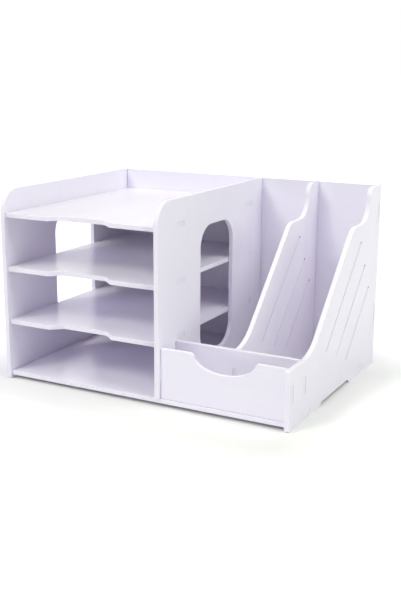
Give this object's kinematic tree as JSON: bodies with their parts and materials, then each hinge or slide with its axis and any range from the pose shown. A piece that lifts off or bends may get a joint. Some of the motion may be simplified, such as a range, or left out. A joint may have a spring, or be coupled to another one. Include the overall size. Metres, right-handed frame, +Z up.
{
  "type": "desk sorter",
  "caption": "Desk sorter of keyed flat boards: open paper shelves on the left, upright file slots and a pen tray on the right.",
  "frame": {"origin": "on the desk, at the middle of the footprint", "axes": "+X to the right seen from the front, +Y to the back panel, +Z up"},
  "size_m": [0.42, 0.315, 0.26],
  "materials": {
    "foam_board": "smooth matte"
  },
  "bodies": {
    "root": {"left_side_panel": "foam_board", "middle_panel": "foam_board", "right_side_panel": "foam_board", "file_divider": "foam_board", "back_panel": "foam_board", "base_panel": "foam_board", "lower_shelf": "foam_board", "middle_shelf": "foam_board", "top_shelf": "foam_board", "tray_front": "foam_board", "tray_back": "foam_board"}
  },
  "joints": []
}
